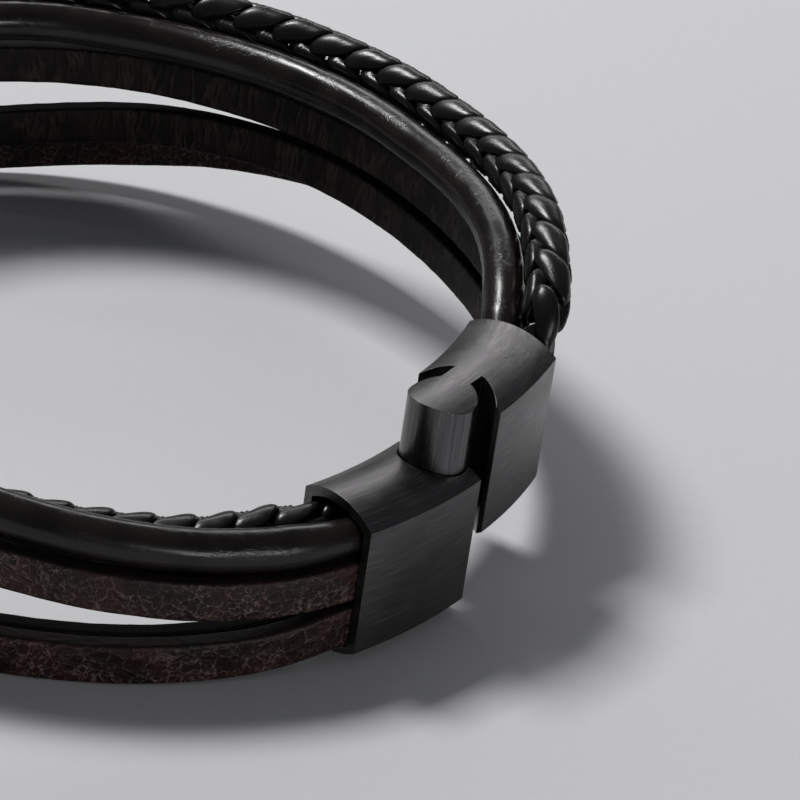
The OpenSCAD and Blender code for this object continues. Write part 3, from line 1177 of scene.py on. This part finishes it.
@dataclass
class Studio:
    """Floor, lights and camera.

    The key softbox, high up past the far end of the loop, gives the lights along the tops and
    lights the floor. The back one adds thin rims, and the front one, low and weak, picks out the
    creases of the outer faces.
    """

    target: Triple = (8.87, -24.51, 8.0)
    azimuth: float = -61.43
    elevation: float = 30.46
    roll: float = 8.63
    distance: float = 400.0
    focal_share: float = 5186 / 800
    sensor_width: float = 36.0
    near_limit: float = 0.01
    floor_width: float = 6.0
    room_light: float = 0.12
    room_colour: Colour = (0.9, 0.93, 1.0, 1.0)
    softboxes: tuple[Softbox, ...] = (
        Softbox("key_softbox", (0.1, 0.57, 0.81), 1.0, (0.26, 0.26), 9.8),
        Softbox("back_softbox", (0.757, 0.47, 0.47), 0.9, (0.9, 0.15), 1.8),
        Softbox("front_softbox", (-0.33, -0.92, 0.21), 0.7, (0.25, 0.08), 0.9),
    )

    def build(self, floor: Material) -> None:
        """Sets up the studio.

        Args:
            floor: Material of the floor.
        """
        self._floor(floor)
        self._world()
        self._camera()
        for softbox in self.softboxes:
            self._light(softbox)
        bpy.context.scene.view_settings.view_transform = "Standard"

    def _floor(self, material: Material) -> None:
        """Makes the floor."""
        half = self.floor_width / 2
        corners = [(-half, -half, 0.0), (half, -half, 0.0), (half, half, 0.0), (-half, half, 0.0)]
        mesh = bpy.data.meshes.new("floor")
        mesh.from_pydata(corners, [], [(0, 1, 2, 3)])
        mesh.materials.append(material)
        floor = add_object("floor", mesh)

    def _world(self) -> None:
        """Gives the room a soft, even light."""
        world = bpy.data.worlds.new("studio")
        world.use_nodes = True
        background = world.node_tree.nodes["Background"]
        background.inputs["Color"].default_value = self.room_colour
        background.inputs["Strength"].default_value = self.room_light
        bpy.context.scene.world = world

    def _camera(self) -> None:
        """Places the camera at the photo's angle."""
        azimuth, elevation = math.radians(self.azimuth), math.radians(self.elevation)
        reach = math.cos(elevation)
        aside, behind = math.sin(azimuth) * reach, -math.cos(azimuth) * reach
        back = Vector((aside, behind, math.sin(elevation)))
        level = (-back).cross(Vector((0.0, 0.0, 1.0))).normalized()
        upright = level.cross(-back)
        roll = math.radians(-self.roll)
        right = level * math.cos(roll) - upright * math.sin(roll)
        above = level * math.sin(roll) + upright * math.cos(roll)
        data = bpy.data.cameras.new("camera")
        data.sensor_width = self.sensor_width
        data.lens = self.focal_share * self.sensor_width
        data.clip_start = self.near_limit
        camera = add_object("camera", data)
        turn = Matrix((right, above, back)).transposed().to_4x4()
        eye = (Vector(self.target) + back * self.distance) * METRES_PER_MM
        camera.matrix_world = Matrix.Translation(eye) @ turn
        bpy.context.scene.camera = camera

    def _light(self, softbox: Softbox) -> None:
        """Hangs a softbox where it faces the bracelet.

        Args:
            softbox: The softbox to hang.
        """
        data = bpy.data.lights.new(softbox.name, "AREA")
        data.shape = "RECTANGLE"
        data.size, data.size_y = softbox.size
        data.energy = softbox.power
        light = add_object(softbox.name, data)
        toward = Vector(softbox.direction).normalized()
        light.location = Vector(self.target) * METRES_PER_MM + toward * softbox.distance
        light.rotation_euler = toward.to_track_quat("Z", "Y").to_euler()


def main() -> None:
    """Builds every piece in order."""
    logging.basicConfig(level=logging.INFO, format="%(name)s: %(message)s")
    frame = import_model()
    sizes = ClaspSizes()
    course = Course(sizes)
    Studio().build(MattFloor("floor_matt").material())
    LOG.info("studio is set up")

    # the lit colours below are painted highlights on ridges and folds, and the deep colours also
    # give painted shade on flat tops
    face = CreasedLeather(
        "strap_face_leather",
        colour=(0.023, 0.0065, 0.005, 1.0),
        deep_colour=(0.006, 0.0024, 0.002, 1.0),
        lit_colour=(0.19, 0.135, 0.12, 1.0),
    ).material()
    lining = WrinkledLining(
        "strap_lining_leather",
        colour=(0.010, 0.0055, 0.005, 1.0),
        deep_colour=(0.004, 0.0025, 0.002, 1.0),
        lit_colour=(0.036, 0.024, 0.020, 1.0),
    ).material()
    for row in Row:
        strap = FlatStrap(course, row, face, lining)
        made = strap.build()
        strap.dress()
        LOG.info("%s strap: %s", row.value, ", ".join(piece.name for piece in made))

    cord = RoundCord(
        course,
        SmoothLeather(
            "cord_leather_glazed",
            colour=(0.0045, 0.003, 0.0028, 1.0),
            lit_colour=(0.010, 0.007, 0.006, 1.0),
        ).material(),
    )
    LOG.info("round cord: %s", cord.build().name)
    cord.dress()

    braid = Braid(
        course,
        SmoothLeather(
            "braid_leather_glazed",
            colour=(0.004, 0.0035, 0.0035, 1.0),
            lit_colour=(0.009, 0.0075, 0.0075, 1.0),
            roughness=0.3,
            pull_width=0.22,
            pull_depth=0.015,
            nick_share=0.4,
        ).material(),
    )
    LOG.info("braid: %s", ", ".join(piece.name for piece in braid.build()))
    braid.dress()

    clasp = Clasp(
        frame["nodes"],
        {
            "socket_cap": BrushedSteel("socket_cap_steel", sizes).material(),
            "knob_cap": BrushedSteel(
                "knob_cap_steel", sizes, line_length=1.2, line_width=0.09, roughness=0.31
            ).material(),
        },
    )
    clasp.dress()
    LOG.info("clasp: brushed steel on both caps")

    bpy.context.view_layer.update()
    LOG.info("sizes are written")


if __name__ == "__main__":
    main()
